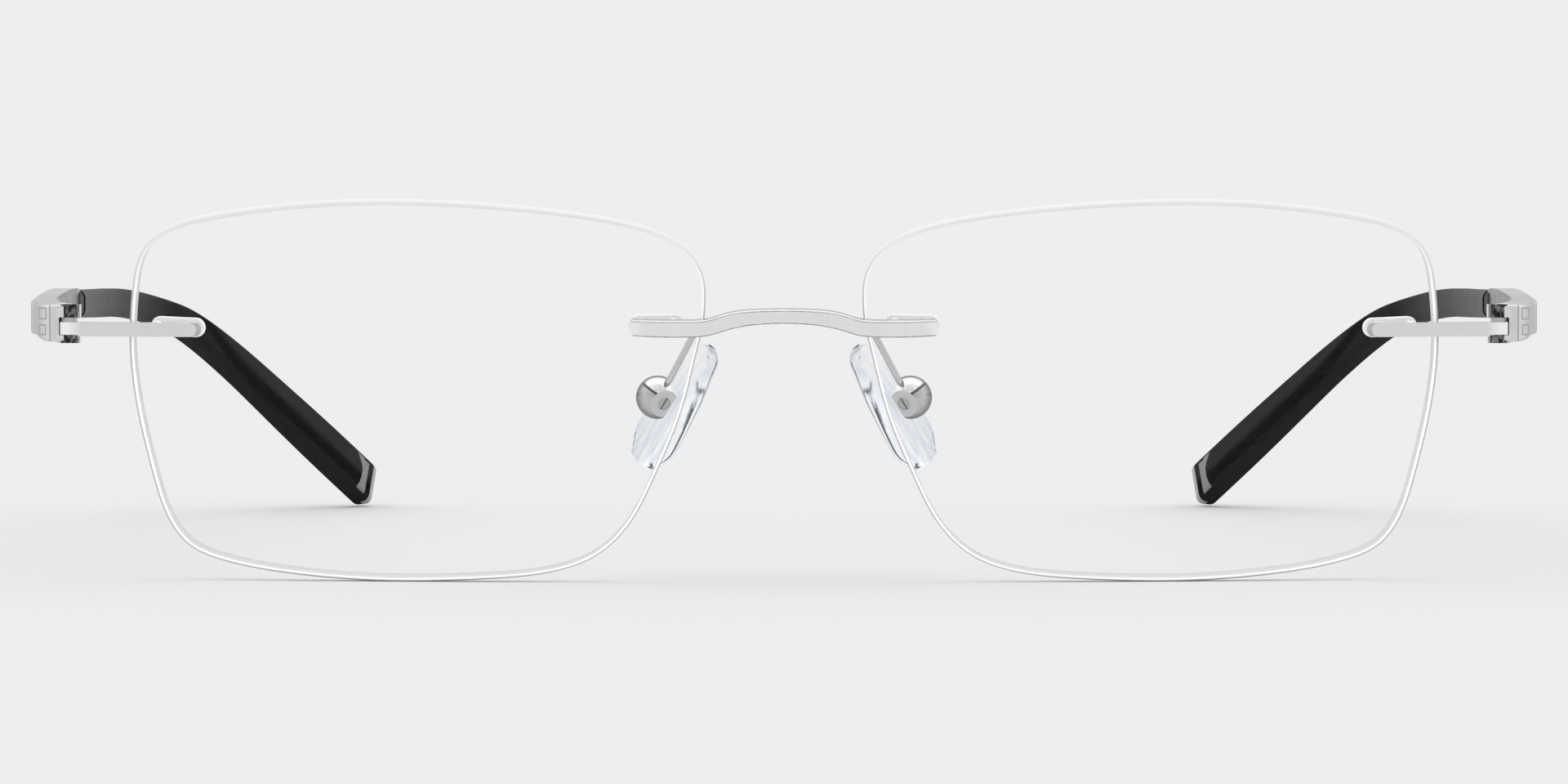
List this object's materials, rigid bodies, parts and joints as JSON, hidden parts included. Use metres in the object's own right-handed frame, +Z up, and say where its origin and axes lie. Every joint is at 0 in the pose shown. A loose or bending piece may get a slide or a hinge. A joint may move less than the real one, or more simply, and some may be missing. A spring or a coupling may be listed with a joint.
{
  "type": "rimless eyeglasses",
  "caption": "Rimless eyeglasses: drilled rectangular lenses on a slim metal bridge and endpieces, rocking silicone nose pads and folding temples with black arms.",
  "frame": {"origin": "middle of the footprint, on the surface that the lens rims and the ear tips stand on", "axes": "+X to the wearer's left, +Y from the lenses to the ear tips, +Z up"},
  "size_m": [0.1452, 0.1381, 0.0365],
  "materials": {
    "lens": "clear optical resin, polished, with a polished bevelled edge",
    "clear_plug": "clear moulded plastic",
    "silver_metal": "satin silver plating",
    "polished_metal": "polished silver plating",
    "screw_steel": "turned steel",
    "core_steel": "drawn flat wire",
    "washer_nylon": "natural nylon",
    "black_acetate": "black, satin with a fine speckle",
    "pad_silicone": "clear soft silicone",
    "pad_core": "clear hard plastic"
  },
  "bodies": {
    "front": {"bridge": "silver_metal", "lens_left": "lens", "lens_right": "lens", "nasal_plug_left": "clear_plug", "nasal_plug_right": "clear_plug", "temporal_plug_left": "clear_plug", "temporal_plug_right": "clear_plug", "endpiece_left": "silver_metal", "endpiece_right": "silver_metal", "hinge_washer_left": "washer_nylon", "hinge_washer_right": "washer_nylon", "pad_arm_left": "silver_metal", "pad_arm_right": "silver_metal", "pad_box_left": "polished_metal", "pad_box_right": "polished_metal", "pad_screw_left": "screw_steel", "pad_screw_right": "screw_steel"},
    "temple_left": {"temple_front_left": "silver_metal", "temple_arm_left": "black_acetate", "temple_core_left": "core_steel", "hinge_screw_left": "screw_steel"},
    "pad_left": {"nose_pad_left": "pad_silicone", "pad_insert_left": "pad_core"},
    "temple_right": {"temple_front_right": "silver_metal", "temple_arm_right": "black_acetate", "temple_core_right": "core_steel", "hinge_screw_right": "screw_steel"},
    "pad_right": {"nose_pad_right": "pad_silicone", "pad_insert_right": "pad_core"}
  },
  "joints": [
    {"name": "temple_left_fold", "type": "hinge", "parent": "front", "child": "temple_left", "pos_m": [0.0683, -0.06155, 0.02405], "axis": [0, 0, 1], "range_deg": [0, 80]},
    {"name": "temple_right_fold", "type": "hinge", "parent": "front", "child": "temple_right", "pos_m": [-0.0683, -0.06155, 0.02405], "axis": [0, 0, -1], "range_deg": [0, 70]},
    {"name": "pad_left_rock", "type": "hinge", "parent": "front", "child": "pad_left", "pos_m": [0.0121, -0.06005, 0.0175], "axis": [-0.4012, -0.8398, -0.3657], "range_deg": [-8, 8]},
    {"name": "pad_right_rock", "type": "hinge", "parent": "front", "child": "pad_right", "pos_m": [-0.0121, -0.06005, 0.0175], "axis": [-0.4012, 0.8398, 0.3657], "range_deg": [-8, 8]}
  ]
}
